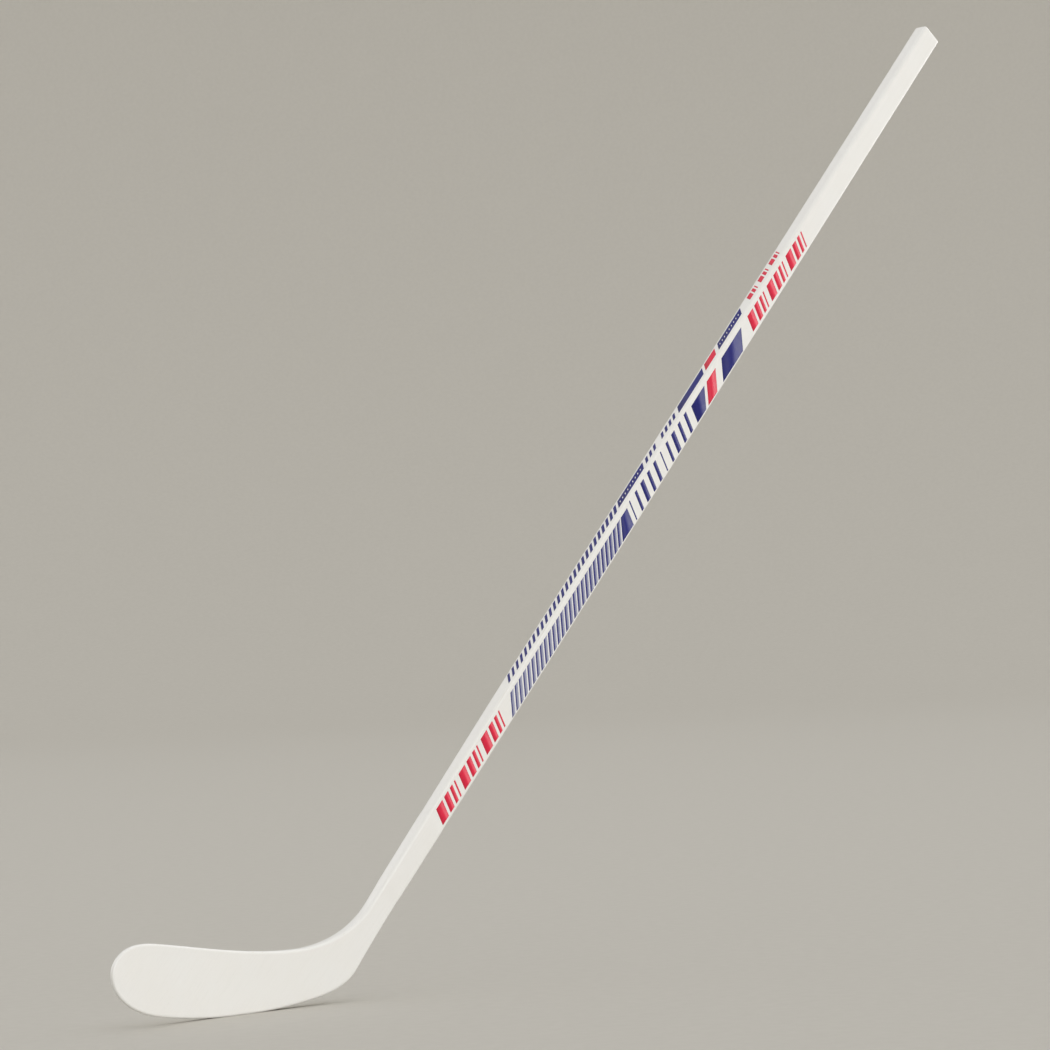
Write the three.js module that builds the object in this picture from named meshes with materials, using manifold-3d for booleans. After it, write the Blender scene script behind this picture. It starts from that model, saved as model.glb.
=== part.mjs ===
// A senior ice hockey stick: a laminated wood shaft with a moulded plastic blade glued into its end.
//
// Frame: millimetres, +Z up. The stick is in its playing pose. The origin is the point of the sole that
// touches the ice, the blade points along -X, the shaft rises along +X, and the shaft's wide faces are
// square to Y. The blade's hollow (forehand) side faces -Y.
//
// Every glued piece is a part of one outer shape, so all of them share one set of coordinates:
//   station  how far along the stick: 0 at the toe, 1 at the scarf where the shaft's cheeks begin,
//            2 at the top of the bend, and 3 at the butt
//   across   -1 on the rear and lower edge, +1 on the front and upper edge
//   offset   millimetres towards +Y from the stick's middle surface

import * as THREE from 'three';
import { mergeVertices } from 'three/addons/utils/BufferGeometryUtils.js';
import Module from 'manifold-3d';

const wasm = await Module();
wasm.setup();

// ---- Driving dimensions: shaft ----
const STICK_LENGTH = 1524; // from the heel corner to the butt, along the shaft
const LIE_ANGLE = 48; // degrees between the ice and the shaft
const HEEL_X = 123; // where the line of the shaft's rear edge meets the ice
const SHAFT_WIDTH = 29.8;
const SHAFT_THICKNESS = 20;
const SHAFT_CORNER = 3.6; // corner radius of the shaft's section
const TAPER_START = 600; // the shaft grows slimmer from here down to the heel
const WIDTH_TAPER = 0.14; // share of the width that is gone at the heel
const THICKNESS_TAPER = 0.28; // share of the thickness that is gone at the heel
const HOSEL_SWEEP = 1.3; // how far the axis leans back at the heel
const BUTT_EASE = 2; // the butt's edges are cut back by this much

// ---- Driving dimensions: layers, from the outside in ----
const FIBREGLASS = 0.5; // laminate on the wide faces and the blade's skins
const BOND = 0.1; // glue under the laminate and round the tongue
const CORE_PLY = 1.8; // one aspen ply
const CORE_PLIES = 7;
const TONGUE_PLIES = 3; // middle plies that stop short, to leave the slot for the tongue
const SCARF_GAP = 0.01; // glue line at the scarf, in stations

// ---- Driving dimensions: bend and blade ----
const REAR_SCARF = 48; // distance up the shaft of the scarf's rear end
const FRONT_SCARF = 115; // distance up the shaft of the scarf's front end
const BEND_END = 140; // above this, every section is square to the shaft
const HEEL_SWELL = 2.7; // how far the rear edge stands out at the scarf
const SWELL_END = 150; // the rear edge is straight above this
const TONGUE_END = 165;
const SKIN_END = 190; // the blade's skins stop here and the shaft's laminate begins
const WRAP_START = 150;
const WRAP_END = 235;
const WRAP_WALL = 0.35;
const WRAP_CLEARANCE = 0.06;
const ROCKER_RADIUS = 520;
const SOLE_FLAT = 20; // length of the sole that rests flat on the ice
const TOE_THICKNESS = 5.6;
const SCARF_THICKNESS = 15.9;
const EVEN_GROWTH = 0.5; // 1 thickens the blade evenly, 0 only in its middle
const TOE_CORNER = 2; // edge radius at the toe
const CURVE_DEPTH = 13; // how far the toe bends towards -Y
const CURVE_START = 75;
const TOE_REACH = 170; // the toe's tip is this far along -X
const TOE_BLEND = 0.3; // the stations over which sections turn into the toe's round end

// ---- The stick seen square to its wide faces, as X and Z ----

const radians = THREE.MathUtils.degToRad;
const lerp = THREE.MathUtils.lerp;
const alongShaft = new THREE.Vector2(Math.cos(radians(LIE_ANGLE)), Math.sin(radians(LIE_ANGLE)));
const acrossShaft = new THREE.Vector2(-alongShaft.y, alongShaft.x);

/** 0 above the taper, rising smoothly to 1 at the heel corner. */
function taperAt(distance) {
  return Math.max(0, (TAPER_START - distance) / TAPER_START) ** 2;
}

function shaftWidthAt(distance) {
  return SHAFT_WIDTH * (1 - WIDTH_TAPER * taperAt(distance));
}

function shaftThicknessAt(distance) {
  return SHAFT_THICKNESS * (1 - THICKNESS_TAPER * taperAt(distance));
}

/** A point on the shaft: a distance up it, and how far towards its front edge from its axis. */
function shaftPoint(distance, side) {
  const axis = SHAFT_WIDTH / 2 - HOSEL_SWEEP * taperAt(distance);
  return new THREE.Vector2(HEEL_X, 0)
    .addScaledVector(alongShaft, distance)
    .addScaledVector(acrossShaft, axis + side);
}

function rearEdgePoint(distance) {
  const swell = HEEL_SWELL * (Math.max(0, SWELL_END - distance) / (SWELL_END - REAR_SCARF)) ** 2;
  return shaftPoint(distance, -shaftWidthAt(distance) / 2 - swell);
}

function frontEdgePoint(distance) {
  return shaftPoint(distance, shaftWidthAt(distance) / 2);
}

function direction(degrees) {
  return new THREE.Vector2(Math.cos(radians(degrees)), Math.sin(radians(degrees)));
}

/** A smooth curve that leaves one point and reaches the next in the given directions. */
function sweep(start, startDegrees, startPull, end, endDegrees, endPull) {
  return new THREE.CubicBezierCurve(
    start,
    start.clone().addScaledVector(direction(startDegrees), startPull),
    end.clone().addScaledVector(direction(endDegrees), -endPull),
    end,
  );
}

/** One end of the sole's rocker: the parabola that leaves the flat and rises towards the end. */
function rocker(end) {
  const flatEnd = (Math.sign(end) * SOLE_FLAT) / 2;
  const run = end - flatEnd;
  return new THREE.QuadraticBezierCurve(
    new THREE.Vector2(flatEnd, 0),
    new THREE.Vector2(flatEnd + run / 2, 0),
    new THREE.Vector2(end, run ** 2 / (2 * ROCKER_RADIUS)),
  );
}

function rockerDegrees(end) {
  const run = Math.abs(end) - SOLE_FLAT / 2;
  return THREE.MathUtils.radToDeg(Math.atan(run / ROCKER_RADIUS)) * Math.sign(end);
}

function backwards({ v0, v1, v2 }) {
  return new THREE.QuadraticBezierCurve(v2, v1, v0);
}

function chain(...curves) {
  const path = new THREE.CurvePath();
  curves.forEach((curve) => path.add(curve));
  return path;
}

const toeLow = new THREE.Vector2(-158.3, 33.5);
const toeHigh = new THREE.Vector2(-157, 80.5);
const bladeCrown = new THREE.Vector2(-105, 86.6);
const throat = new THREE.Vector2(75, 63.6);
const toeLowDegrees = -46;
const toeHighDegrees = 36;
const crownDegrees = -9;
const heelDegrees = LIE_ANGLE + THREE.MathUtils.radToDeg((2 * HEEL_SWELL) / (SWELL_END - REAR_SCARF));
const rockerFrom = -105;
const rockerTo = 75;

const toeRocker = rocker(rockerFrom);
const heelRocker = rocker(rockerTo);
const lowerEdge = chain(
  sweep(toeLow, toeLowDegrees, 20, toeRocker.v2, rockerDegrees(rockerFrom), 20),
  backwards(toeRocker),
  new THREE.LineCurve(toeRocker.v0, heelRocker.v0),
  heelRocker,
  sweep(heelRocker.v2, rockerDegrees(rockerTo), 41, rearEdgePoint(REAR_SCARF), heelDegrees, 24),
);
const upperEdge = chain(
  sweep(toeHigh, toeHighDegrees, 18, bladeCrown, crownDegrees, 18),
  sweep(bladeCrown, crownDegrees, 60, throat, 0, 60),
  sweep(throat, 0, 44, frontEdgePoint(FRONT_SCARF), LIE_ANGLE, 35),
);
const toeEnd = sweep(toeLow, toeLowDegrees + 180, 21, toeHigh, toeHighDegrees, 21);

/** A point of a curve, moved inwards; turn is +1 where the inside is on the curve's left, -1 on its right. */
function insetCurvePoint(curve, share, turn, inset) {
  const tangent = curve.getTangentAt(share);
  const inward = new THREE.Vector2(-tangent.y, tangent.x).multiplyScalar(turn);
  return curve.getPointAt(share).addScaledVector(inward, inset);
}

/** How far up the shaft a station above the scarf lies, on the rear edge and on the front edge. */
function shaftDistances(station) {
  if (station < 2) {
    const share = station - 1;
    return [lerp(REAR_SCARF, BEND_END, share), lerp(FRONT_SCARF, BEND_END, share)];
  }
  const distance = lerp(BEND_END, STICK_LENGTH, station - 2);
  return [distance, distance];
}

/** The two ends of a section. Above the scarf an inset follows the section, so that its ends stay on it. */
function sectionEnds(station, inset) {
  if (station < 1) {
    return [insetCurvePoint(lowerEdge, station, 1, inset), insetCurvePoint(upperEdge, station, -1, inset)];
  }
  const [rearDistance, frontDistance] = shaftDistances(station);
  const rear = rearEdgePoint(rearDistance);
  const front = frontEdgePoint(frontDistance);
  const share = inset / front.clone().sub(rear).dot(acrossShaft);
  return [rear.clone().lerp(front, share), front.lerp(rear, share)];
}

function sectionPoint(station, share, inset) {
  const [rear, front] = sectionEnds(station, inset);
  return rear.lerp(front, share);
}

/** A point of the outline's inside. Near the toe, the straight sections turn into the round end. */
function flatPoint(station, across, inset) {
  const share = (across + 1) / 2;
  const point = sectionPoint(station, share, inset);
  if (station < TOE_BLEND) {
    const bulge = insetCurvePoint(toeEnd, share, -1, inset).sub(sectionPoint(0, share, inset));
    point.addScaledVector(bulge, (1 - station / TOE_BLEND) ** 2);
  }
  return point;
}

// ---- The stick's depth, along Y ----

function thicknessAt(station) {
  if (station < 1) {
    const growth = lerp(THREE.MathUtils.smoothstep(station, 0, 1), station, EVEN_GROWTH);
    return lerp(TOE_THICKNESS, SCARF_THICKNESS, growth);
  }
  return station < 2
    ? lerp(SCARF_THICKNESS, shaftThicknessAt(BEND_END), station - 1)
    : shaftThicknessAt(shaftDistances(station)[0]);
}

function cornerAt(station) {
  return lerp(TOE_CORNER, SHAFT_CORNER, Math.min(station, 1) ** 2);
}

/** Where the middle surface lies: flat in the shaft, bent towards -Y in the blade. */
function middleAt(x) {
  const bend = Math.max(0, (CURVE_START - x) / (CURVE_START + TOE_REACH));
  return -CURVE_DEPTH * bend ** 2;
}

/** How far a rounded corner draws the edge in, at a depth under the outer face. */
function cornerInset(depth, corner) {
  return depth < corner ? corner - Math.sqrt(corner ** 2 - (corner - depth) ** 2) : 0;
}

function shaftStation(distance) {
  return 2 + (distance - BEND_END) / (STICK_LENGTH - BEND_END);
}

const easeStart = shaftStation(STICK_LENGTH - BUTT_EASE);

/** How far the butt's eased edge cuts in, all round the section. */
function easeAt(station) {
  return BUTT_EASE * Math.max(0, (station - easeStart) / (3 - easeStart));
}

function stickPoint(station, across, offset, trim) {
  const ease = easeAt(station);
  const depth = thicknessAt(station) / 2 - ease - Math.abs(offset);
  const inset = cornerInset(depth, cornerAt(station) - ease) + ease + trim;
  const flat = flatPoint(station, across, inset);
  return new THREE.Vector3(flat.x, middleAt(flat.x) + offset, flat.y);
}

// ---- Building pieces ----

function stations(from, to, steps) {
  return Array.from({ length: steps + 1 }, (_, i) => lerp(from, to, i / steps));
}

/**
 * A closed block of the stick: a box whose grid is moved to the given stations. offsetAt gives a grid
 * point's offset from its station and from its level, 0 on the -Y side and 1 on the +Y side.
 */
function block({ along, acrossSteps = 1, levels = 1, offsetAt, trim = 0 }) {
  const steps = along.length - 1;
  const geometry = new THREE.BoxGeometry(1, 1, 1, steps, levels, acrossSteps);
  const position = geometry.attributes.position;
  for (let i = 0; i < position.count; i += 1) {
    const station = along[Math.round((position.getX(i) + 0.5) * steps)];
    const offset = offsetAt(station, position.getY(i) + 0.5);
    const point = stickPoint(station, 2 * position.getZ(i), offset, trim);
    position.setXYZ(i, point.x, point.y, point.z);
  }
  geometry.computeVertexNormals();
  return geometry;
}

function toManifold(geometry) {
  const bare = geometry.clone();
  bare.deleteAttribute('normal');
  bare.deleteAttribute('uv');
  const merged = mergeVertices(bare);
  return new wasm.Manifold(
    new wasm.Mesh({
      numProp: 3,
      vertProperties: new Float32Array(merged.attributes.position.array),
      triVerts: new Uint32Array(merged.index.array),
    }),
  );
}

function fromManifold(solid) {
  const mesh = solid.getMesh();
  const geometry = new THREE.BufferGeometry();
  geometry.setAttribute('position', new THREE.BufferAttribute(mesh.vertProperties, 3));
  geometry.setIndex(new THREE.BufferAttribute(mesh.triVerts, 1));
  geometry.computeVertexNormals();
  return geometry;
}

const materials = {
  paintedFibreglass: { color: 0xebe8e0, roughness: 0.4, metalness: 0 },
  blade: { color: 0xe6e4dc, roughness: 0.45, metalness: 0 },
  birch: { color: 0xdcbb8c, roughness: 0.6, metalness: 0 },
  aspen: { color: 0xeadbb9, roughness: 0.65, metalness: 0 },
};

const stick = new THREE.Group();

function addPiece(name, geometry, material) {
  const mesh = new THREE.Mesh(geometry, new THREE.MeshStandardMaterial(materials[material]));
  mesh.name = name;
  stick.add(mesh);
}

// ---- Shaft: the aspen plies, the birch outer plies and the laminate on the wide faces ----

const coreHalf = (CORE_PLIES * CORE_PLY) / 2;
const scarfStation = 1 + SCARF_GAP;
const bendStations = stations(scarfStation, 2, 8);
const taperStations = stations(2, shaftStation(TAPER_START), 8).slice(1);
const buttStations = [easeStart, 3];

function addCorePly(number) {
  const low = -coreHalf + (number - 1) * CORE_PLY;
  const fromMiddle = Math.abs(number - (CORE_PLIES + 1) / 2);
  const aboveTongue = fromMiddle < TONGUE_PLIES / 2;
  const foot = aboveTongue ? [shaftStation(TONGUE_END)] : bendStations;
  const along = [...foot, ...taperStations.filter((station) => station > foot.at(-1)), ...buttStations];
  const offsetAt = (station, level) => low + level * CORE_PLY;
  addPiece(`core_ply_${number}`, block({ along, offsetAt }), 'aspen');
}

function addBirchPly(name, side) {
  const outer = (station) => thicknessAt(station) / 2 - Math.max(FIBREGLASS + BOND, easeAt(station));
  const offsetAt = (station, level) => {
    const share = side < 0 ? 1 - level : level;
    return side * lerp(coreHalf, outer(station), share);
  };
  const along = [...bendStations, ...taperStations, ...buttStations];
  addPiece(name, block({ along, offsetAt, levels: 4 }), 'birch');
}

/** A laminate of fibreglass on one side, from one station to another. */
function laminate(along, acrossSteps, side) {
  const offsetAt = (station, level) => {
    const share = side < 0 ? 1 - level : level;
    return side * (thicknessAt(station) / 2 - FIBREGLASS * (1 - share));
  };
  return block({ along, acrossSteps, offsetAt });
}

function addShaftLaminate(name, side) {
  const foot = shaftStation(SKIN_END + BOND);
  const along = [foot, ...taperStations.filter((station) => station > foot), easeStart];
  addPiece(name, laminate(along, 1, side), 'paintedFibreglass');
}

addShaftLaminate('front_fibreglass', -1);
addBirchPly('front_birch_ply', -1);
for (let number = 1; number <= CORE_PLIES; number += 1) {
  addCorePly(number);
}
addBirchPly('rear_birch_ply', 1);
addShaftLaminate('rear_fibreglass', 1);

// ---- Blade: the moulded core with its tongue, and a fibreglass skin on each face ----

const acrossBlade = 10;
const bladeStations = stations(0, 1, 36);

function bladeCore() {
  const half = (station) => thicknessAt(station) / 2 - FIBREGLASS - BOND;
  // Levels crowd towards both faces, where the edge is round.
  const offsetAt = (station, level) => -half(station) * Math.cos(Math.PI * level);
  const body = block({ along: bladeStations, acrossSteps: acrossBlade, levels: 6, offsetAt });
  const tongueHalf = (TONGUE_PLIES * CORE_PLY) / 2 - BOND;
  const root = 1 - 1 / (bladeStations.length - 1);
  const tongue = block({
    along: [root, ...stations(1, 2, 8), shaftStation(TONGUE_END - BOND)],
    offsetAt: (station, level) => lerp(-tongueHalf, tongueHalf, level),
    trim: BOND,
  });
  return fromManifold(toManifold(body).add(toManifold(tongue)));
}

function bladeSkin(side) {
  const hosel = stations(1, 2, 8).slice(1);
  const along = [...bladeStations, ...hosel, shaftStation(SKIN_END)];
  return laminate(along, acrossBlade, side);
}

addPiece('blade_core', bladeCore(), 'blade');
addPiece('blade_front_skin', bladeSkin(-1), 'paintedFibreglass');
addPiece('blade_rear_skin', bladeSkin(1), 'paintedFibreglass');

// ---- Hosel wrap: a sleeve of fibreglass over the place where skins and shaft laminate meet ----

function roundedRectangle(Path, width, height, corner) {
  const path = new Path();
  const x = width / 2 - corner;
  const y = height / 2 - corner;
  path.absarc(x, y, corner, 0, Math.PI / 2, false);
  path.absarc(-x, y, corner, Math.PI / 2, Math.PI, false);
  path.absarc(-x, -y, corner, Math.PI, 1.5 * Math.PI, false);
  path.absarc(x, -y, corner, 1.5 * Math.PI, 2 * Math.PI, false);
  path.closePath();
  return path;
}

function hoselWrap() {
  const width = shaftWidthAt(WRAP_START);
  const thickness = shaftThicknessAt(WRAP_START);
  const inner = WRAP_CLEARANCE;
  const outer = inner + WRAP_WALL;
  const ring = roundedRectangle(
    THREE.Shape, width + 2 * outer, thickness + 2 * outer, SHAFT_CORNER + outer,
  );
  ring.holes.push(
    roundedRectangle(THREE.Path, width + 2 * inner, thickness + 2 * inner, SHAFT_CORNER + inner),
  );
  const geometry = new THREE.ExtrudeGeometry(ring, {
    depth: WRAP_END - WRAP_START, steps: 3, curveSegments: 4, bevelEnabled: false,
  });
  const position = geometry.attributes.position;
  for (let i = 0; i < position.count; i += 1) {
    const distance = WRAP_START + position.getZ(i);
    const wider = (shaftWidthAt(distance) - width) / 2;
    const thicker = (shaftThicknessAt(distance) - thickness) / 2;
    const x = position.getX(i);
    const y = position.getY(i);
    const flat = shaftPoint(distance, -x - Math.sign(x) * wider);
    position.setXYZ(i, flat.x, y + Math.sign(y) * thicker, flat.y);
  }
  geometry.computeVertexNormals();
  return geometry;
}

addPiece('hosel_wrap', hoselWrap(), 'paintedFibreglass');

export default stick;
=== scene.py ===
"""Looks for the laminated ice hockey stick: its lacquer, printed bars, bare wood end and the studio.

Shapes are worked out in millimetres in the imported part's frame, with the same outline as the part:
  station   0 at the toe, 1 at the scarf, 2 at the top of the bend, and above that the shaft
  across    -1 on the rear and lower edge, +1 on the front and upper edge
  distance  millimetres up the shaft from the heel corner
"""

import math

import bpy
import numpy as np
from mathutils import Matrix, Vector


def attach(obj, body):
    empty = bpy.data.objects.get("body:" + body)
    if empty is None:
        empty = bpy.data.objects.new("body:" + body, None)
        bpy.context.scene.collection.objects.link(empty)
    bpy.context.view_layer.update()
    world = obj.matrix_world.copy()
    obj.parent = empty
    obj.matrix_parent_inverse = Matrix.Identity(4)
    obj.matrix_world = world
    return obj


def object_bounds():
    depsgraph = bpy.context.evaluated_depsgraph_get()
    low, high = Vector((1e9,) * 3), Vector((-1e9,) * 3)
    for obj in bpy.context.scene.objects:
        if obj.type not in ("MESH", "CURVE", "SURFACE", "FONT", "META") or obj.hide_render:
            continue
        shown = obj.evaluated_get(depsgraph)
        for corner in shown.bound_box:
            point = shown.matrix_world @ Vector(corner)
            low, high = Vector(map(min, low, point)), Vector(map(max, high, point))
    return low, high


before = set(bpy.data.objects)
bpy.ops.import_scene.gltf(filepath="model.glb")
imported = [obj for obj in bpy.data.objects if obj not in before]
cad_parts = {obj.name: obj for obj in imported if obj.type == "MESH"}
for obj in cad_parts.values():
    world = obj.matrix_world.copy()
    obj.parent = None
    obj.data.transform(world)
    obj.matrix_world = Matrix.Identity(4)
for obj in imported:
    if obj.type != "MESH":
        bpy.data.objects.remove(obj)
cad_low, cad_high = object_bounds()

MM = 0.001

# ---- The stick's driving dimensions, as in the part ----
STICK_LENGTH = 1524
LIE_ANGLE = 48
HEEL_X = 123
SHAFT_WIDTH = 29.8
SHAFT_THICKNESS = 20
SHAFT_CORNER = 3.6
TAPER_START = 600
WIDTH_TAPER = 0.14
THICKNESS_TAPER = 0.28
HOSEL_SWEEP = 1.3
CORE_PLY = 1.8
CORE_PLIES = 7
REAR_SCARF = 48
FRONT_SCARF = 115
BEND_END = 140
HEEL_SWELL = 2.7
SWELL_END = 150
WRAP_START = 150
WRAP_END = 235
WRAP_HEIGHT = 0.41
ROCKER_RADIUS = 520
SOLE_FLAT = 20
ROCKER_FROM = -105
ROCKER_TO = 75
TOE_THICKNESS = 5.6
SCARF_THICKNESS = 15.9
EVEN_GROWTH = 0.5
TOE_CORNER = 2
CURVE_DEPTH = 13
CURVE_START = 75
TOE_REACH = 170
TOE_BLEND = 0.3

# ---- The finish ----
LACQUER = 0.3  # how far the lacquer's surface stands off the bare stick
FEATHER = 14  # length over which the lacquer runs down from the wrap's edges
BLADE_LACQUER_END = 192  # under the wrap, where the shaft's lacquer takes over
BUTT_ROUND = 2.3  # radius of the lacquer's rounded edge at the butt
BUTT_LIP = 2.8  # how far in from its surface the lacquer ends on the bare end
INK = 0.05  # how far the printing stands off the lacquer
CORNER_STEPS = 6  # segments in a quarter of a rounded corner
CURVE_SAMPLES = 241  # points read off each curve of the outline
BLADE_COLUMNS = 30  # strips across the blade's faces
TOE_ROWS = 56  # sections over the toe's round end
BODY_ROWS = 101  # sections from there to the scarf
BEND_ROWS = 31
SHAFT_COLUMNS = 10  # strips across each flat of the shaft
FEATHER_RINGS = 15
SHAFT_RINGS = 100
BLADE_MARGIN = 0.02  # width of the outermost strips, as a share of half the blade's width
SHAFT_MARGIN = 0.03  # the same on the shaft's flats

# ---- The outline, seen square to the wide faces ----


def lerp(low, high, share):
    return low + (high - low) * share


def direction(degrees):
    return np.array([math.cos(math.radians(degrees)), math.sin(math.radians(degrees))])


ALONG = direction(LIE_ANGLE)
ACROSS = np.array([-ALONG[1], ALONG[0]])


def taper_at(distance):
    return max(0.0, (TAPER_START - distance) / TAPER_START) ** 2


def shaft_width(distance):
    return SHAFT_WIDTH * (1 - WIDTH_TAPER * taper_at(distance))


def shaft_thickness(distance):
    return SHAFT_THICKNESS * (1 - THICKNESS_TAPER * taper_at(distance))


def shaft_point(distance, side):
    axis = SHAFT_WIDTH / 2 - HOSEL_SWEEP * taper_at(distance)
    return np.array([HEEL_X, 0]) + ALONG * distance + ACROSS * (axis + side)


def rear_edge(distance):
    swell = HEEL_SWELL * (max(0, SWELL_END - distance) / (SWELL_END - REAR_SCARF)) ** 2
    return shaft_point(distance, -shaft_width(distance) / 2 - swell)


def front_edge(distance):
    return shaft_point(distance, shaft_width(distance) / 2)


def sweep(start, start_degrees, start_pull, end, end_degrees, end_pull):
    """Control points of a curve that leaves one point and reaches the next in the given directions."""
    start, end = np.array(start, float), np.array(end, float)
    leave = start + direction(start_degrees) * start_pull
    arrive = end - direction(end_degrees) * end_pull
    return [start, leave, arrive, end]


def rocker(end):
    """Control points of the parabola that leaves the sole's flat and rises towards one end."""
    flat_end = math.copysign(SOLE_FLAT / 2, end)
    run = end - flat_end
    rise = run**2 / (2 * ROCKER_RADIUS)
    return [np.array([flat_end, 0]), np.array([flat_end + run / 2, 0]), np.array([end, rise])]


def rocker_degrees(end):
    run = abs(end) - SOLE_FLAT / 2
    return math.copysign(math.degrees(math.atan(run / ROCKER_RADIUS)), end)


def bezier(controls, shares):
    """Points and directions of a curve with any number of control points."""
    rows = [np.tile(point, (len(shares), 1)) for point in controls]
    while len(rows) > 2:
        rows = [lerp(a, b, shares[:, None]) for a, b in zip(rows, rows[1:])]
    return lerp(rows[0], rows[1], shares[:, None]), rows[1] - rows[0]


class Outline:
    """A chain of curves, read by the share of its length."""

    def __init__(self, *curves):
        sampled = [bezier(controls, np.linspace(0, 1, CURVE_SAMPLES)) for controls in curves]
        self.points = np.concatenate([points for points, _ in sampled])
        tangents = np.concatenate([tangents for _, tangents in sampled])
        self.tangents = tangents / np.linalg.norm(tangents, axis=1)[:, None]
        steps = np.linalg.norm(np.diff(self.points, axis=0), axis=1)
        travelled = np.concatenate([[0], np.cumsum(steps)])
        self.shares = travelled / travelled[-1]

    def read(self, table, share):
        return np.stack([np.interp(share, self.shares, table[:, axis]) for axis in (0, 1)], axis=-1)

    def at(self, share, turn, inset):
        """A point moved inwards; turn is +1 where the inside is on the curve's left, -1 on its right."""
        tangent = self.read(self.tangents, share)
        inward = np.stack([-tangent[..., 1], tangent[..., 0]], axis=-1) * turn
        return self.read(self.points, share) + inward * inset


toe_low = (-158.3, 33.5)
toe_high = (-157, 80.5)
crown = (-105, 86.6)
throat = (75, 63.6)
toe_low_degrees = -46
toe_high_degrees = 36
crown_degrees = -9
heel_degrees = LIE_ANGLE + math.degrees(2 * HEEL_SWELL / (SWELL_END - REAR_SCARF))

# How far each curve keeps to the direction in which it leaves or arrives.
SOLE_PULL = 20
CROWN_PULL = 18
BLADE_TOP_PULL = 60
THROAT_PULL = 44
FRONT_SCARF_PULL = 35
HEEL_PULL = 41
REAR_SCARF_PULL = 24
TOE_END_PULL = 21

toe_rocker = rocker(ROCKER_FROM)
heel_rocker = rocker(ROCKER_TO)

lower_edge = Outline(
    sweep(toe_low, toe_low_degrees, SOLE_PULL, toe_rocker[2], rocker_degrees(ROCKER_FROM), SOLE_PULL),
    toe_rocker[::-1],
    [toe_rocker[0], heel_rocker[0]],
    heel_rocker,
    sweep(
        heel_rocker[2], rocker_degrees(ROCKER_TO), HEEL_PULL,
        rear_edge(REAR_SCARF), heel_degrees, REAR_SCARF_PULL,
    ),
)
upper_edge = Outline(
    sweep(toe_high, toe_high_degrees, CROWN_PULL, crown, crown_degrees, CROWN_PULL),
    sweep(crown, crown_degrees, BLADE_TOP_PULL, throat, 0, BLADE_TOP_PULL),
    sweep(throat, 0, THROAT_PULL, front_edge(FRONT_SCARF), LIE_ANGLE, FRONT_SCARF_PULL),
)
toe_end = Outline(
    sweep(toe_low, toe_low_degrees + 180, TOE_END_PULL, toe_high, toe_high_degrees, TOE_END_PULL)
)


def shaft_distances(station):
    """How far up the shaft a station above the scarf lies, on its rear edge and on its front edge."""
    if station < 2:
        return lerp(REAR_SCARF, BEND_END, station - 1), lerp(FRONT_SCARF, BEND_END, station - 1)
    distance = lerp(BEND_END, STICK_LENGTH, station - 2)
    return distance, distance


def section_row(station, across, inset):
    """Points across one section, moved in from the outline (or out, where inset is negative)."""
    share = ((across + 1) / 2)[:, None]
    if station < 1:
        row = lerp(lower_edge.at(station, 1, inset), upper_edge.at(station, -1, inset), share)
    else:
        rear_distance, front_distance = shaft_distances(station)
        rear = rear_edge(rear_distance) + ACROSS * inset
        front = front_edge(front_distance) - ACROSS * inset
        row = lerp(rear, front, share)
    if station < TOE_BLEND:
        chord = lerp(lower_edge.at(0, 1, inset), upper_edge.at(0, -1, inset), share)
        row = row + (toe_end.at(share[:, 0], -1, inset) - chord) * (1 - station / TOE_BLEND) ** 2
    return row


def thickness_at(station):
    if station < 1:
        growth = lerp(station * station * (3 - 2 * station), station, EVEN_GROWTH)
        return lerp(TOE_THICKNESS, SCARF_THICKNESS, growth)
    if station < 2:
        return lerp(SCARF_THICKNESS, shaft_thickness(BEND_END), station - 1)
    return shaft_thickness(shaft_distances(station)[0])


def corner_at(station):
    return lerp(TOE_CORNER, SHAFT_CORNER, min(station, 1) ** 2)


def middle_at(x):
    bend = np.maximum(0, (CURVE_START - x) / (CURVE_START + TOE_REACH))
    return -CURVE_DEPTH * bend**2


# ---- Meshes ----


def make_piece(name, points, faces, edges=None):
    """A smooth mesh from points in millimetres. edges says how near each point is to a worn edge, 0 to 1."""
    mesh = bpy.data.meshes.new(name)
    mesh.from_pydata([tuple(point * MM) for point in points], [], faces)
    mesh.validate()
    mesh.shade_smooth()
    if edges is not None:
        layer = mesh.attributes.new("edge", "FLOAT", "POINT")
        layer.data.foreach_set("value", edges)
    piece = bpy.data.objects.new(name, mesh)
    bpy.context.scene.collection.objects.link(piece)
    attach(piece, "root")
    return piece


def crowded(steps, near):
    """Values from -1 to 1, with a close pair at each end, so that the flat meets the round edge cleanly."""
    inner = np.linspace(near - 1, 1 - near, steps - 1)
    return np.concatenate([[-1], inner, [1]])


def edge_profile(thickness, corner):
    """The rounded edge from the -Y face to the +Y face, as offset, inset and nearness to the edge."""
    radius = corner + LACQUER
    reach = thickness / 2 + LACQUER
    angles = np.linspace(0, math.pi / 2, CORNER_STEPS + 1)
    quarter = [
        (-reach + radius * (1 - math.cos(a)), corner - radius * math.sin(a), math.sin(2 * a))
        for a in angles
    ]
    middle = [(0, -LACQUER, 0)]
    return quarter + middle + [(-offset, inset, near) for offset, inset, near in quarter[::-1]]


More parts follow.
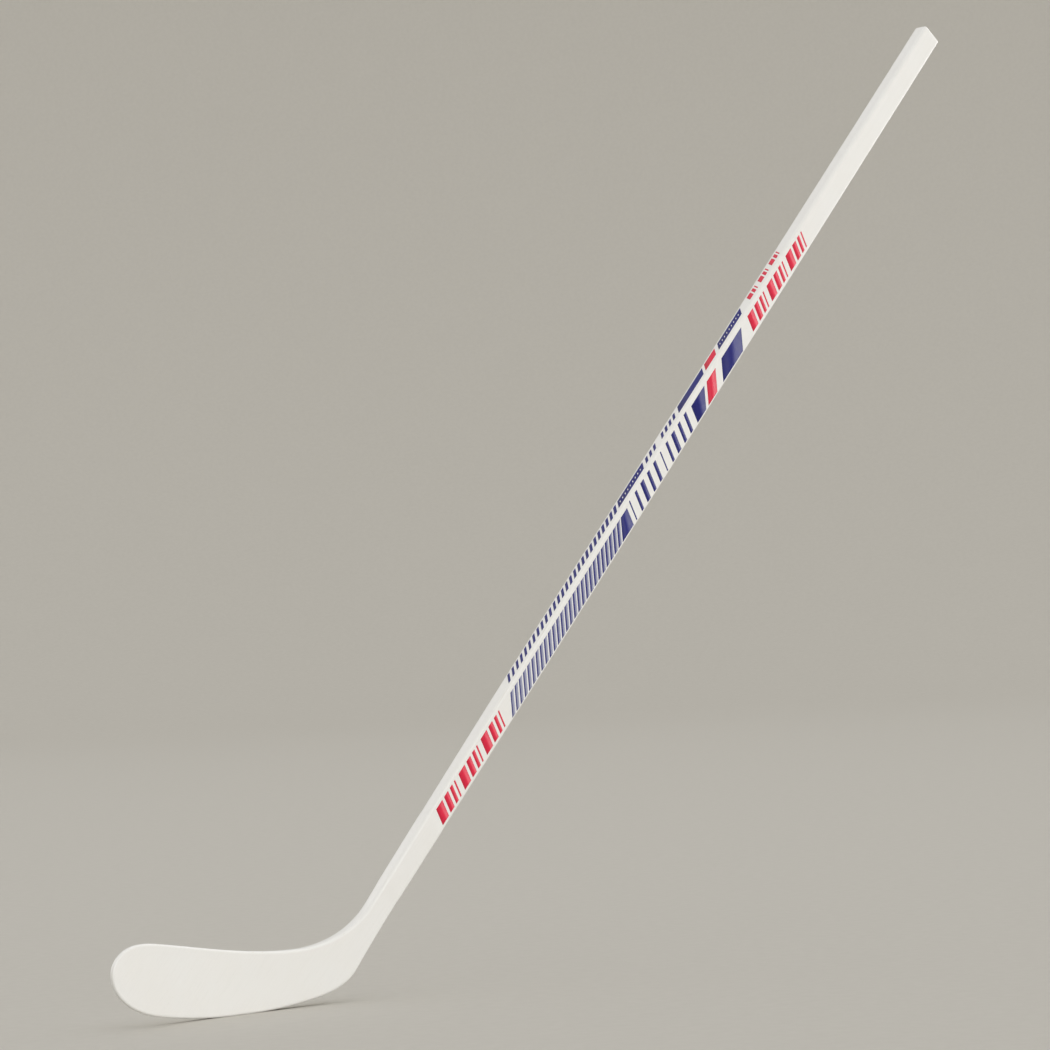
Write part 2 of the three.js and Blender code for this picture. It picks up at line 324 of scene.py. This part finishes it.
def blade_lacquer():
    """The blade, the bend and the hosel as one closed skin, laid out as the sides of a grid box."""
    toe_rows = np.linspace(0, TOE_BLEND, TOE_ROWS)[:-1]
    body_rows = np.linspace(TOE_BLEND, 1, BODY_ROWS)[:-1]
    bend_rows = np.linspace(1, 2, BEND_ROWS)
    top = 2 + (BLADE_LACQUER_END - BEND_END) / (STICK_LENGTH - BEND_END)
    stations = [*toe_rows, *body_rows, *bend_rows, top]
    across = crowded(BLADE_COLUMNS, BLADE_MARGIN)
    last_i, last_j = len(stations) - 1, len(across) - 1
    last_k = len(edge_profile(1, 0)) - 1
    points, edges, index = [], [], {}

    def add(i, j, k, flat, offset, near):
        index[i, j, k] = len(points)
        points.append(np.array([flat[0], middle_at(flat[0]) + offset, flat[1]]))
        edges.append(near)

    for i, station in enumerate(stations):
        profile = edge_profile(thickness_at(station), corner_at(station))
        for k, (offset, inset, near) in enumerate(profile):
            row = section_row(station, across, inset)
            whole = i == 0 or k in (0, last_k)
            for j in range(last_j + 1) if whole else (0, last_j):
                add(i, j, k, row[j], offset, near)

    faces = []
    for i in range(last_i):
        for j in range(last_j):
            for k, turn in ((0, 1), (last_k, -1)):
                quad = [index[i, j, k], index[i + 1, j, k], index[i + 1, j + 1, k], index[i, j + 1, k]]
                faces.append(quad[::turn])
        for k in range(last_k):
            for j, turn in ((0, -1), (last_j, 1)):
                quad = [index[i, j, k], index[i + 1, j, k], index[i + 1, j, k + 1], index[i, j, k + 1]]
                faces.append(quad[::turn])
    for j in range(last_j):
        for k in range(last_k):
            faces.append([index[0, j, k], index[0, j + 1, k], index[0, j + 1, k + 1], index[0, j, k + 1]])
        end = [index[last_i, j, 0], index[last_i, j, last_k]]
        end += [index[last_i, j + 1, last_k], index[last_i, j + 1, 0]]
        faces.append(end)
    for j, turn in ((0, 1), (last_j, -1)):
        faces.append([index[last_i, j, k] for k in range(last_k + 1)][::turn])
    return make_piece("blade_lacquer", points, faces, edges)


def on_shaft(distance, quarter, across, out):
    """A point over the shaft, from millimetres across one of its faces and out from the bare stick.

    quarter is 0 for the front wide face, 1 for the toe side, 2 for the rear and 3 for the heel side.
    Past the face's flat, the point follows the rounded corner.
    """
    half = [shaft_width(distance) / 2, shaft_thickness(distance) / 2]
    flat = half[quarter % 2] - SHAFT_CORNER
    reach = half[1 - quarter % 2] - SHAFT_CORNER
    radius = SHAFT_CORNER + out
    angle = max(0, abs(across) - flat) / (SHAFT_CORNER + LACQUER)
    u = math.copysign(min(abs(across), flat) + radius * math.sin(angle), across)
    v = reach + radius * math.cos(angle)
    turn = quarter * math.pi / 2
    side = math.cos(turn) * u + math.sin(turn) * v
    y = math.sin(turn) * u - math.cos(turn) * v
    flat_point = shaft_point(distance, side)
    return np.array([flat_point[0], y, flat_point[1]])


def shaft_loop(distance, out):
    """One loop round the shaft, with how near each point is to a worn edge."""
    loop, nears = [], []
    for quarter in range(4):
        flat = (shaft_width, shaft_thickness)[quarter % 2](distance) / 2 - SHAFT_CORNER
        for share in crowded(SHAFT_COLUMNS, SHAFT_MARGIN):
            loop.append(on_shaft(distance, quarter, share * flat, out))
            nears.append(0)
        for step in range(1, CORNER_STEPS):
            angle = step / CORNER_STEPS * math.pi / 2
            loop.append(on_shaft(distance, quarter, flat + angle * (SHAFT_CORNER + LACQUER), out))
            nears.append(math.sin(2 * angle))
    return loop, nears


def wrap_rise(distance):
    """How much the lacquer rises over the wrap, feathered outside its two edges."""
    outside = max(WRAP_START - distance, distance - WRAP_END, 0) / FEATHER
    share = max(0.0, 1 - outside)
    return WRAP_HEIGHT * share * share * (3 - 2 * share)


def shaft_lacquer():
    """The shaft's skin, from just under the blade's lacquer to a rounded lip on the butt's bare end."""
    wrap_low = np.linspace(WRAP_START - FEATHER, WRAP_START, FEATHER_RINGS)
    wrap_high = np.linspace(WRAP_END, WRAP_END + FEATHER, FEATHER_RINGS)
    straight = np.linspace(WRAP_END + FEATHER, STICK_LENGTH - 1.5 * BUTT_ROUND, SHAFT_RINGS)
    # Its lower end dips under the blade's lacquer, so that no step shows.
    rings = [(wrap_low[0] - 2, LACQUER * 0.5), (wrap_low[0] - 1, LACQUER * 0.9)]
    rings += [(distance, LACQUER + wrap_rise(distance)) for distance in (*wrap_low, *wrap_high)]
    rings += [(distance, LACQUER) for distance in straight[1:]]
    for angle in np.linspace(0, math.pi / 2, CORNER_STEPS + 1):
        along = STICK_LENGTH + LACQUER - BUTT_ROUND + BUTT_ROUND * math.sin(angle)
        rings.append((along, LACQUER - BUTT_ROUND * (1 - math.cos(angle))))
    # The lip rolls over and ends just inside the bare wood.
    lip = LACQUER - BUTT_LIP
    rings.append((STICK_LENGTH + LACQUER * 0.8, lip))
    rings.append((STICK_LENGTH + LACQUER * 0.3, lip - LACQUER * 0.6))
    rings.append((STICK_LENGTH - LACQUER, lip - LACQUER * 0.7))
    points, edges, faces = [], [], []
    for distance, out in rings:
        loop, nears = shaft_loop(distance, out)
        points += loop
        edges += nears
    count = len(points) // len(rings)
    for ring in range(len(rings) - 1):
        for step in range(count):
            low, after = ring * count + step, ring * count + (step + 1) % count
            faces.append([low, low + count, after + count, after])
    faces.append(list(range(count)))
    faces.append(list(range(len(points) - count, len(points)))[::-1])
    return make_piece("shaft_lacquer", points, faces, edges)


# ---- Printing: slanted bars that follow the shaft's faces ----

# Distances are up the shaft from the heel, and bands are the reach across a face from its middle line.
FAST_SLANT = 1.0  # millimetres up the shaft per millimetre across a face
SLOW_SLANT = 0.42
HATCH_PITCH = 9.9
HATCH_STRIPES = 27

WIDE_BAND = (-12, 8.6)
WIDE_HATCH_START = 416.4
WIDE_DARK = ((0, 0), (2.4, 4.6))  # a stripe's start and end in its pitch, at both ends of the row
WIDE_PALE = ((2.4, 4.6), (7, 8.2))
LOW_BLOCK = (684, 704.5)
BARS_START = 712.5
BARS_PITCH = 15.6
BAR_WIDTHS = (2.2, 5, 8, 6, 6)
BAR_GROUPS = 2
BAR_BAND = (-12, 11)
MIDDLE_BLOCK = (867.5, 896.5)
RED_BLOCK = (902.6, 925.5)
HIGH_BLOCK = (941, 993)

MOTIF_STARTS = (250, 1015)
MOTIF_GROUPS = 3
MOTIF_PITCH = 51
MOTIF_BAND = (-9.8, 9.2)
MOTIF_BARS = ((0, 14), (18, 27), (31, 36.5), (40.5, 43))

NARROW_BAND = (-5.6, 5.4)
TICK_START = 440
TICK_BAND = (-6.4, 5.6)
TICK = ((0, 0), (4.8, 6))
SLOTTED_BARS = ((708, 771), (964, 1024))
SLOT = 1.2  # half the width of the row of gaps
SLOT_PITCH = 6
SLOT_FILL = 0.72  # share of the pitch that is inked
DASHES_START = 780
DASHES = 8
DASH_LEFT_OUT = 3
DASH_LENGTH = 5.4
DASH_BAND = (-4.4, 4.4)
NARROW_BLUE = (860, 924)
NARROW_RED = (929.5, 956.5)
SMALL_MOTIF_START = 1044
SMALL_MOTIF_PITCH = 29
SMALL_MOTIF_BAND = (-4.6, 4.6)
SMALL_MOTIF_BARS = ((0, 9.5), (12, 17), (19.5, 21.5))


class Print:
    """One colour's bars on one pair of faces, each a thin closed slab that follows the lacquer."""

    def __init__(self):
        self.points = []
        self.faces = []

    def bar(self, quarter, start, end, band, slant=FAST_SLANT, end_slant=None):
        """A bar between two distances, both taken on the face's middle line."""
        if end_slant is None:
            end_slant = slant
        rows = np.linspace(*band, max(2, round(band[1] - band[0])) + 1)
        base = len(self.points)
        for across in rows:
            low, high = start + slant * across, end + end_slant * across
            for out in (LACQUER - INK, LACQUER + INK):
                self.points.append(on_shaft(low, quarter, across, out))
                self.points.append(on_shaft(high, quarter, across, out))
        for row in range(len(rows) - 1):
            here, there = base + 4 * row, base + 4 * row + 4
            self.faces.append([here + 2, here + 3, there + 3, there + 2])
            self.faces.append([here, there, there + 1, here + 1])
            self.faces.append([here, here + 2, there + 2, there])
            self.faces.append([here + 1, there + 1, there + 3, here + 3])
        last = base + 4 * (len(rows) - 1)
        self.faces.append([base, base + 1, base + 3, base + 2])
        self.faces.append([last, last + 2, last + 3, last + 1])

    def make(self, name):
        return make_piece(name, self.points, self.faces)


def hatch(ink, quarter, first, band, stripe_range):
    """A row of stripes. stripe_range gives where a stripe starts and ends, at both ends of the row."""
    for stripe in range(HATCH_STRIPES):
        share = stripe / (HATCH_STRIPES - 1)
        start, end = (lerp(low, high, share) for low, high in stripe_range)
        base = first + stripe * HATCH_PITCH
        ink.bar(quarter, base + start, base + end, band)


def motif(ink, quarter, first, pitch, band, bars):
    """Groups of bars, each group growing slimmer up the shaft."""
    for group in range(MOTIF_GROUPS):
        for low, high in bars:
            start = first + group * pitch
            ink.bar(quarter, start + low, start + high, band, SLOW_SLANT)


def slotted_bar(ink, quarter, start, end):
    """A bar on the narrow face with a row of small gaps along its middle."""
    low, high = NARROW_BAND
    ink.bar(quarter, start, end, (low, -SLOT))
    ink.bar(quarter, start, end, (SLOT, high))
    dashes = round((end - start) / SLOT_PITCH)
    pitch = (end - start) / dashes
    for step in range(dashes):
        fill = 1 if step == dashes - 1 else SLOT_FILL
        ink.bar(quarter, start + step * pitch, start + (step + fill) * pitch, (-SLOT, SLOT))


def print_wide_face(inks, quarter):
    for start in MOTIF_STARTS:
        motif(inks["red"], quarter, start, MOTIF_PITCH, MOTIF_BAND, MOTIF_BARS)
    hatch(inks["blue"], quarter, WIDE_HATCH_START, WIDE_BAND, WIDE_DARK)
    hatch(inks["pale"], quarter, WIDE_HATCH_START, WIDE_BAND, WIDE_PALE)
    inks["blue"].bar(quarter, *LOW_BLOCK, WIDE_BAND, FAST_SLANT, SLOW_SLANT)
    for step, width in enumerate(BAR_WIDTHS * BAR_GROUPS):
        middle = BARS_START + BARS_PITCH * step
        inks["blue"].bar(quarter, middle - width / 2, middle + width / 2, BAR_BAND, SLOW_SLANT)
    inks["blue"].bar(quarter, *MIDDLE_BLOCK, WIDE_BAND, SLOW_SLANT, FAST_SLANT)
    inks["red"].bar(quarter, *RED_BLOCK, WIDE_BAND)
    inks["blue"].bar(quarter, *HIGH_BLOCK, WIDE_BAND)


def print_narrow_face(inks, quarter):
    hatch(inks["blue"], quarter, TICK_START, TICK_BAND, TICK)
    for start, end in SLOTTED_BARS:
        slotted_bar(inks["blue"], quarter, start, end)
    for step in range(DASHES):
        middle = DASHES_START + HATCH_PITCH * step
        if step != DASH_LEFT_OUT:
            inks["blue"].bar(quarter, middle - DASH_LENGTH / 2, middle + DASH_LENGTH / 2, DASH_BAND)
    inks["blue"].bar(quarter, *NARROW_BLUE, NARROW_BAND)
    inks["red"].bar(quarter, *NARROW_RED, NARROW_BAND)
    motif(inks["red"], quarter, SMALL_MOTIF_START, SMALL_MOTIF_PITCH, SMALL_MOTIF_BAND, SMALL_MOTIF_BARS)


# ---- Materials ----

CLOTH_SCALE = 170
GLUE_FADE = 0.25  # millimetres over which the outermost glue lines fade
WHITE = (0.80, 0.795, 0.775)
WHITE_SHADE = (0.70, 0.69, 0.655)
WHITE_WARM = (0.78, 0.755, 0.705)
WORN = (0.60, 0.53, 0.42)
BIRCH_PALE = (0.66, 0.48, 0.29)
BIRCH_DARK = (0.47, 0.31, 0.17)
ASPEN_PALE = (0.74, 0.62, 0.43)
ASPEN_DARK = (0.60, 0.46, 0.29)
ASPEN_GLUE = (0.26, 0.17, 0.09)
RESIN = (0.55, 0.53, 0.42)
RESIN_DEEP = (0.50, 0.47, 0.35)
RESIN_AMBER = (0.58, 0.50, 0.33)
GLASS_FIBRE = (0.68, 0.67, 0.58)
PLASTIC = (0.72, 0.70, 0.64)
PLASTIC_PALE = (0.74, 0.72, 0.66)
PLASTIC_DARK = (0.66, 0.64, 0.57)


def material_of(name, colour, roughness):
    material = bpy.data.materials.new(name)
    material.use_nodes = True
    shader = material.node_tree.nodes["Principled BSDF"]
    shader.inputs["Base Color"].default_value = (*colour, 1)
    shader.inputs["Roughness"].default_value = roughness
    return material, material.node_tree, shader


def node(tree, kind, inputs=None, **settings):
    """A node with its settings, and each input either linked to a socket or given a value."""
    made = tree.nodes.new(kind)
    for key, value in settings.items():
        setattr(made, key, value)
    for key, value in (inputs or {}).items():
        if isinstance(value, bpy.types.NodeSocket):
            tree.links.new(value, made.inputs[key])
        else:
            made.inputs[key].default_value = value
    return made


def shaft_coordinates(tree, stretch=(1, 1, 1)):
    """Object coordinates turned so that X runs up the shaft, then scaled."""
    where = node(tree, "ShaderNodeTexCoord").outputs["Object"]
    turned = node(
        tree,
        "ShaderNodeMapping",
        {"Vector": where, "Rotation": (0, math.radians(LIE_ANGLE), 0)},
    ).outputs["Vector"]
    return node(tree, "ShaderNodeMapping", {"Vector": turned, "Scale": stretch}).outputs["Vector"]


def noise(tree, where, scale, detail=3.0, roughness=0.5, distortion=0.0):
    inputs = {
        "Vector": where,
        "Scale": scale,
        "Detail": detail,
        "Roughness": roughness,
        "Distortion": distortion,
    }
    return node(tree, "ShaderNodeTexNoise", inputs).outputs["Fac"]


def math_node(tree, operation, first, second=0.0, clamp=False):
    made = node(tree, "ShaderNodeMath", {0: first, 1: second}, operation=operation, use_clamp=clamp)
    return made.outputs[0]


def scaled(tree, value, amount):
    return math_node(tree, "MULTIPLY", value, amount)


def spread(tree, value, low, high, to_low=0.0, to_high=1.0):
    """Maps a range of values to another, clamped at its ends."""
    inputs = {"Value": value, "From Min": low, "From Max": high, "To Min": to_low, "To Max": to_high}
    return node(tree, "ShaderNodeMapRange", inputs, clamp=True).outputs["Result"]


def mix(tree, factor, first, second):
    made = node(tree, "ShaderNodeMix", {0: factor}, data_type="RGBA")
    for socket, value in ((made.inputs[6], first), (made.inputs[7], second)):
        if isinstance(value, bpy.types.NodeSocket):
            tree.links.new(value, socket)
        else:
            socket.default_value = (*value, 1)
    return made.outputs[2]


def bump(tree, height, distance, strength, under=None):
    inputs = {"Height": height, "Distance": distance, "Strength": strength}
    if under is not None:
        inputs["Normal"] = under
    return node(tree, "ShaderNodeBump", inputs).outputs["Normal"]


def glass_cloth_weave(tree, where):
    """The crossing of the cloth's warp and weft, 1 where both are highest."""
    warp = node(tree, "ShaderNodeTexWave", {"Vector": where, "Scale": CLOTH_SCALE}, bands_direction="X")
    weft = node(tree, "ShaderNodeTexWave", {"Vector": where, "Scale": CLOTH_SCALE}, bands_direction="Z")
    return math_node(tree, "MULTIPLY", warp.outputs["Fac"], weft.outputs["Fac"])


def ply_lines(tree, softness):
    """1 along the glue lines between the core plies, read from the depth through the stick."""
    where = node(tree, "ShaderNodeTexCoord").outputs["Object"]
    depth = node(tree, "ShaderNodeSeparateXYZ", {0: where}).outputs["Y"]
    plies = math_node(tree, "ADD", math_node(tree, "DIVIDE", depth, CORE_PLY * MM), 0.5)
    within = math_node(tree, "FRACT", plies)
    from_joint = math_node(tree, "ABSOLUTE", math_node(tree, "SUBTRACT", within, 0.5))
    joint = spread(tree, from_joint, 0.5 - softness, 0.5)
    inside = math_node(tree, "ABSOLUTE", depth)
    core_edge = (CORE_PLIES / 2 * CORE_PLY + GLUE_FADE) * MM
    within_core = spread(tree, inside, core_edge - GLUE_FADE * MM, core_edge, 1.0, 0.0)
    return math_node(tree, "MULTIPLY", joint, within_core)


def lacquer(name, weave):
    """White lacquer: over fibreglass it shows a faint weave, over the shaft's wood a faint grain."""
    material, tree, shader = material_of(name, WHITE, 0.36)
    plain = shaft_coordinates(tree)
    along = shaft_coordinates(tree, (0.03, 1, 1))
    cloud = spread(tree, noise(tree, plain, scale=14, detail=4), 0.35, 0.7)
    grain = noise(tree, along, scale=900, detail=3, roughness=0.6)
    mottle = noise(tree, plain, scale=420, detail=3, roughness=0.6)
    colour = mix(tree, scaled(tree, cloud, 0.30), WHITE, WHITE_WARM)
    streaks = scaled(tree, spread(tree, grain, 0.48, 0.75), 0.22)
    colour = mix(tree, streaks, colour, WHITE_SHADE)
    speckle = scaled(tree, spread(tree, mottle, 0.62, 0.74), 0.25)
    colour = mix(tree, speckle, colour, WHITE_SHADE)
    edge = node(tree, "ShaderNodeAttribute", attribute_name="edge").outputs["Fac"]
    chips = math_node(tree, "MULTIPLY", edge, noise(tree, along, scale=160, detail=5, roughness=0.7))
    worn = scaled(tree, spread(tree, chips, 0.56, 0.66), 0.55)
    colour = mix(tree, worn, colour, WORN)
    tree.links.new(colour, shader.inputs["Base Color"])
    rough = math_node(tree, "ADD", spread(tree, mottle, 0.3, 0.7, 0.36, 0.48), worn, clamp=True)
    tree.links.new(rough, shader.inputs["Roughness"])
    peel = bump(tree, noise(tree, plain, scale=260, detail=2), distance=0.12 * MM, strength=0.22)
    if weave:
        cloth = glass_cloth_weave(tree, shaft_coordinates(tree, (1, 0.2, 1)))
        relief = bump(tree, cloth, distance=0.05 * MM, strength=0.25, under=peel)
    else:
        relief = bump(tree, grain, distance=0.08 * MM, strength=0.3, under=peel)
        relief = bump(tree, ply_lines(tree, softness=0.16), distance=-0.08 * MM, strength=0.5, under=relief)
    tree.links.new(relief, shader.inputs["Normal"])
    shader.inputs["Coat Weight"].default_value = 0.15
    shader.inputs["Coat Roughness"].default_value = 0.22
    return material


def ink_material(name, colour, deep, thin):
    """Screen-printed ink: a little uneven in thickness, with pinholes too small to see from afar."""
    material, tree, shader = material_of(name, colour, 0.45)
    plain = shaft_coordinates(tree)
    uneven = noise(tree, plain, scale=240, detail=5, roughness=0.65)
    shade = mix(tree, spread(tree, uneven, 0.3, 0.62), deep, colour)
    fine = noise(tree, plain, scale=2600, detail=2, roughness=0.5)
    pinholes = scaled(tree, spread(tree, fine, 0.70, 0.78), 0.45)
    tree.links.new(mix(tree, pinholes, shade, thin), shader.inputs["Base Color"])
    tree.links.new(spread(tree, uneven, 0.3, 0.7, 0.40, 0.54), shader.inputs["Roughness"])
    tree.links.new(bump(tree, fine, distance=0.04 * MM, strength=0.3), shader.inputs["Normal"])
    shader.inputs["Specular IOR Level"].default_value = 0.32
    return material


def wood(name, pale, dark, glue=None):
    """Peeled wood veneer: fibres run up the shaft. Where glue has a colour, its lines show between plies."""
    material, tree, shader = material_of(name, pale, 0.62)
    along = shaft_coordinates(tree, (0.02, 1, 1))
    fibres = noise(tree, along, scale=1500, detail=5, roughness=0.65)
    stretched = shaft_coordinates(tree, (0.01, 1.6, 0.25))
    bands = noise(tree, stretched, scale=520, detail=3, roughness=0.5, distortion=0.6)
    colour = mix(tree, spread(tree, bands, 0.35, 0.68), pale, dark)
    colour = mix(tree, scaled(tree, spread(tree, fibres, 0.52, 0.7), 0.5), colour, dark)
    if glue is not None:
        colour = mix(tree, scaled(tree, ply_lines(tree, softness=0.07), 0.8), colour, glue)
    tree.links.new(colour, shader.inputs["Base Color"])
    tree.links.new(spread(tree, fibres, 0.3, 0.7, 0.52, 0.72), shader.inputs["Roughness"])
    tree.links.new(bump(tree, fibres, distance=0.1 * MM, strength=0.5), shader.inputs["Normal"])
    return material


def fibreglass():
    """Resin over glass cloth: a pale amber with the cloth's warp and weft showing through."""
    material, tree, shader = material_of("fibreglass", RESIN, 0.3)
    where = shaft_coordinates(tree)
    cloth = glass_cloth_weave(tree, where)
    blotches = spread(tree, noise(tree, where, scale=90, detail=4), 0.35, 0.7)
    colour = mix(tree, cloth, RESIN_DEEP, GLASS_FIBRE)
    colour = mix(tree, scaled(tree, blotches, 0.3), colour, RESIN_AMBER)
    tree.links.new(colour, shader.inputs["Base Color"])
    tree.links.new(spread(tree, blotches, 0, 1, 0.25, 0.4), shader.inputs["Roughness"])
    tree.links.new(bump(tree, cloth, distance=0.1 * MM, strength=0.3), shader.inputs["Normal"])
    return material


def moulded_plastic():
    """The blade's moulded core: off-white, with faint flow marks and a fine grain."""
    material, tree, shader = material_of("moulded_plastic", PLASTIC, 0.45)
    where = shaft_coordinates(tree)
    flow = noise(tree, where, scale=25, detail=4, roughness=0.5, distortion=1.5)
    grain = noise(tree, where, scale=1800, detail=2)
    colour = mix(tree, spread(tree, flow, 0.35, 0.65), PLASTIC_PALE, PLASTIC_DARK)
    tree.links.new(colour, shader.inputs["Base Color"])
    tree.links.new(spread(tree, grain, 0.3, 0.7, 0.4, 0.52), shader.inputs["Roughness"])
    tree.links.new(bump(tree, grain, distance=0.05 * MM, strength=0.3), shader.inputs["Normal"])
    return material


def dress(piece, material):
    """Puts one material on every part of an object."""
    if not piece.material_slots:
        piece.data.materials.append(material)
    for slot in piece.material_slots:
        slot.link = "OBJECT"
        slot.material = material


birch = wood("birch", BIRCH_PALE, BIRCH_DARK)
aspen = wood("aspen", ASPEN_PALE, ASPEN_DARK, ASPEN_GLUE)
glass_cloth = fibreglass()
plastic = moulded_plastic()
for name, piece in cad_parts.items():
    if name.startswith("core_ply"):
        dress(piece, aspen)
    elif name.endswith("birch_ply"):
        dress(piece, birch)
    elif name == "blade_core":
        dress(piece, plastic)
    else:
        dress(piece, glass_cloth)

dress(blade_lacquer(), lacquer("blade_lacquer", True))
dress(shaft_lacquer(), lacquer("shaft_lacquer", False))

BLUE = (0.014, 0.016, 0.175)
BLUE_DEEP = (0.011, 0.012, 0.145)
BLUE_THIN = (0.05, 0.055, 0.26)
PALE = (0.31, 0.32, 0.44)
PALE_DEEP = (0.27, 0.28, 0.40)
PALE_THIN = (0.42, 0.43, 0.54)
RED = (0.72, 0.016, 0.058)
RED_DEEP = (0.62, 0.012, 0.045)
RED_THIN = (0.78, 0.10, 0.14)
ink_looks = {
    "blue": ink_material("blue_ink", BLUE, BLUE_DEEP, BLUE_THIN),
    "pale": ink_material("pale_ink", PALE, PALE_DEEP, PALE_THIN),
    "red": ink_material("red_ink", RED, RED_DEEP, RED_THIN),
}
for face, art, quarters in (("wide", print_wide_face, (0, 2)), ("narrow", print_narrow_face, (1, 3))):
    for side, quarter in zip(("front", "rear"), quarters):
        inks = {colour: Print() for colour in ink_looks}
        art(inks, quarter)
        for colour, ink in inks.items():
            if ink.points:
                dress(ink.make(f"{face}_{side}_print_{colour}"), ink_looks[colour])

# ---- Studio: a pale floor that curves up into a wall all round, and soft lights ----

FLOOR_REACH = 9.0  # metres of flat floor round the stick
SWEEP = 5.0  # radius of the curve from floor to wall
WALL_TOP = 9.0
FLOOR_RINGS = (0.0, 0.6, 2.0, 5.0)  # radii of the first rings of floor
SWEEP_STEPS = 24
FLOOR_SPOKES = 96
PAPER = (0.70, 0.675, 0.62)
PAPER_PALE = (0.72, 0.695, 0.64)
LIGHT_SIZE = 4.5
# Each light's place, in metres from the stick's middle, and its power in watts.
LIGHTS = {
    "key": ((-1.4, -6.0, 1.3), 218),
    "fill": ((6.0, -1.0, 0.9), 230),
    "back": ((-3.6, 6.0, 2.6), 165),
}
SKY_STRENGTH = 0.8


def paper():
    """Backdrop paper, a little mottled."""
    material, tree, shader = material_of("studio_paper", PAPER, 0.9)
    where = node(tree, "ShaderNodeTexCoord").outputs["Object"]
    tone = spread(tree, noise(tree, where, scale=60, detail=4), 0.3, 0.7)
    tree.links.new(mix(tree, tone, PAPER, PAPER_PALE), shader.inputs["Base Color"])
    shader.inputs["Specular IOR Level"].default_value = 0.05
    return material


def studio_floor():
    profile = [(radius, 0.0) for radius in FLOOR_RINGS]
    for angle in np.linspace(0, math.pi / 2, SWEEP_STEPS + 1):
        profile.append((FLOOR_REACH + SWEEP * math.sin(angle), SWEEP * (1 - math.cos(angle))))
    profile.append((FLOOR_REACH + SWEEP, WALL_TOP))
    centre = (cad_low + cad_high) / 2
    verts = [(centre.x, centre.y, 0.0)]
    for radius, height in profile[1:]:
        for angle in np.linspace(0, 2 * math.pi, FLOOR_SPOKES, endpoint=False):
            verts.append((centre.x + radius * math.cos(angle), centre.y + radius * math.sin(angle), height))
    faces = [[0, 1 + step, 1 + (step + 1) % FLOOR_SPOKES] for step in range(FLOOR_SPOKES)]
    for ring in range(len(profile) - 2):
        low = 1 + ring * FLOOR_SPOKES
        high = low + FLOOR_SPOKES
        for step in range(FLOOR_SPOKES):
            after = (step + 1) % FLOOR_SPOKES
            faces.append([low + step, high + step, high + after, low + after])
    mesh = bpy.data.meshes.new("studio_floor")
    mesh.from_pydata(verts, [], faces)
    mesh.shade_smooth()
    floor = bpy.data.objects.new("studio_floor", mesh)
    bpy.context.scene.collection.objects.link(floor)
    dress(floor, paper())
    return floor


def left_out_of_lights(backdrop):
    """A collection that keeps the lights off the backdrop, which only the even sky lights."""
    left_out = bpy.data.collections.new("left_out_of_lights")
    left_out.objects.link(backdrop)
    left_out.collection_objects[0].light_linking.link_state = "EXCLUDE"
    return left_out


def soft_light(name, place, power, left_out):
    """A large square light, placed in metres from the stick's middle and turned to face it."""
    data = bpy.data.lights.new(name, "AREA")
    data.shape = "SQUARE"
    data.size = LIGHT_SIZE
    data.energy = power
    light = bpy.data.objects.new(name, data)
    bpy.context.scene.collection.objects.link(light)
    aim = (cad_low + cad_high) / 2
    light.location = aim + Vector(place)
    light.rotation_mode = "QUATERNION"
    light.rotation_quaternion = Vector(place).to_track_quat("Z", "Y")
    light.light_linking.receiver_collection = left_out


backdrop_only = left_out_of_lights(studio_floor())
for name, (place, power) in LIGHTS.items():
    soft_light(name, place, power, backdrop_only)
world = bpy.data.worlds.new("studio")
bpy.context.scene.world = world
world.use_nodes = True
sky = world.node_tree.nodes["Background"]
sky.inputs["Color"].default_value = (1, 1, 1, 1)
sky.inputs["Strength"].default_value = SKY_STRENGTH

# ---- Camera ----

CAMERA_AZIMUTH = -38.83
CAMERA_ELEVATION = -1.12
CAMERA_ROLL = -2.527
CAMERA_DISTANCE = 4.311
CAMERA_LENS = 126.6
AIM = Vector((0.4308, 0, 0.5254))

azimuth, elevation = math.radians(CAMERA_AZIMUTH), math.radians(CAMERA_ELEVATION)
back = Vector(
    (
        math.sin(azimuth) * math.cos(elevation),
        -math.cos(azimuth) * math.cos(elevation),
        math.sin(elevation),
    )
)
camera_data = bpy.data.cameras.new("camera")
camera_data.sensor_width = 36
camera_data.lens = CAMERA_LENS
camera = bpy.data.objects.new("camera", camera_data)
bpy.context.scene.collection.objects.link(camera)
right = (-back).cross(Vector((0, 0, 1))).normalized()
up = right.cross(-back)
level = Matrix((right, up, back)).transposed().to_4x4()
roll = Matrix.Rotation(math.radians(CAMERA_ROLL), 4, "Z")
camera.matrix_world = Matrix.Translation(AIM + back * CAMERA_DISTANCE) @ level @ roll
bpy.context.scene.camera = camera
bpy.context.scene.view_settings.view_transform = "Standard"
